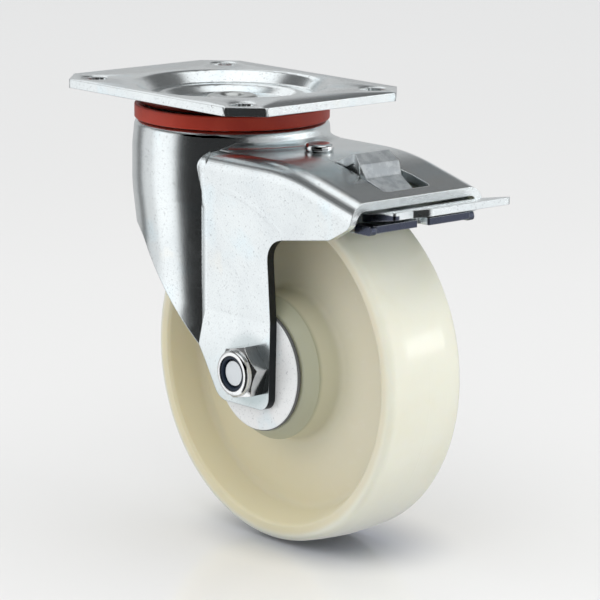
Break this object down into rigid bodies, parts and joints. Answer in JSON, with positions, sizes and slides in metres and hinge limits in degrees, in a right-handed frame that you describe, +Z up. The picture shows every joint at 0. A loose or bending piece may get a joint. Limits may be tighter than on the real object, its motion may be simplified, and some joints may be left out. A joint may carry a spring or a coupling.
{
  "type": "braked swivel castor",
  "caption": "Plate-mounted swivel castor with a pressed zinc-plated fork, red seal, cream nylon wheel on ball bearings and a rear foot pedal that brakes the wheel.",
  "frame": {"origin": "centre of the top plate's upper face, on the swivel axis", "axes": "+Z up, +X the trailing side towards the brake pedal, -Y the side of the axle nut"},
  "size_m": [0.1651, 0.08, 0.1553],
  "materials": {
    "zinc": "bright zinc plating, semi-gloss with soft waves",
    "bright_steel": "bright plated, glossy",
    "red_seal": "satin",
    "blue_nylon": "satin",
    "cream_nylon": "glossy tread, satin sides"
  },
  "bodies": {
    "plate": {"top_plate": "zinc", "kingpin": "bright_steel", "lower_race_cup": "zinc", "swivel_lock_ring": "zinc", "seal_ring": "red_seal"},
    "swivel_balls": {"upper_balls": "bright_steel", "lower_balls": "bright_steel"},
    "fork": {"fork": "zinc", "brake_rivet": "bright_steel", "leaf_spring": "zinc", "axle_bolt": "bright_steel", "bolt_washer": "zinc", "axle_nut": "bright_steel", "nut_insert": "blue_nylon", "axle_sleeve": "zinc", "dust_cover_near": "zinc", "dust_cover_far": "zinc", "inner_ring_near": "bright_steel", "inner_ring_far": "bright_steel"},
    "bearing_balls": {"bearing_balls_near": "bright_steel", "bearing_balls_far": "bright_steel"},
    "wheel": {"wheel": "cream_nylon", "outer_ring_near": "bright_steel", "outer_ring_far": "bright_steel", "bearing_shield_near": "zinc", "bearing_shield_far": "zinc"},
    "brake_pedal": {"brake_pedal": "zinc"},
    "brake_plate": {"brake_plate": "zinc"}
  },
  "joints": [
    {"name": "swivel", "type": "hinge", "parent": "plate", "child": "fork", "pos_m": [0, 0, -0.013], "axis": [0, 0, 1], "continuous": true},
    {"name": "swivel_ball_orbit", "type": "hinge", "parent": "plate", "child": "swivel_balls", "pos_m": [0, 0, -0.011], "axis": [0, 0, 1], "continuous": true},
    {"name": "wheel_spin", "type": "hinge", "parent": "fork", "child": "wheel", "pos_m": [0.0403, 0, -0.0928], "axis": [0, 1, 0], "continuous": true},
    {"name": "bearing_ball_orbit", "type": "hinge", "parent": "fork", "child": "bearing_balls", "pos_m": [0.0403, 0, -0.0928], "axis": [0, 1, 0], "continuous": true},
    {"name": "pedal_tilt", "type": "hinge", "parent": "fork", "child": "brake_pedal", "pos_m": [0.07133, 0, -0.0216], "axis": [0, 1, 0], "range_deg": [0, 11.5]},
    {"name": "brake_plate_rock", "type": "hinge", "parent": "fork", "child": "brake_plate", "pos_m": [0.046, 0, -0.02405], "axis": [0, 1, 0], "range_deg": [0, 4.6]}
  ],
  "couplings": [
    {"joint": "swivel_ball_orbit", "follows": "swivel", "ratio": 0.5},
    {"joint": "bearing_ball_orbit", "follows": "wheel_spin", "ratio": 0.616},
    {"joint": "brake_plate_rock", "follows": "pedal_tilt", "ratio": 0.4}
  ]
}
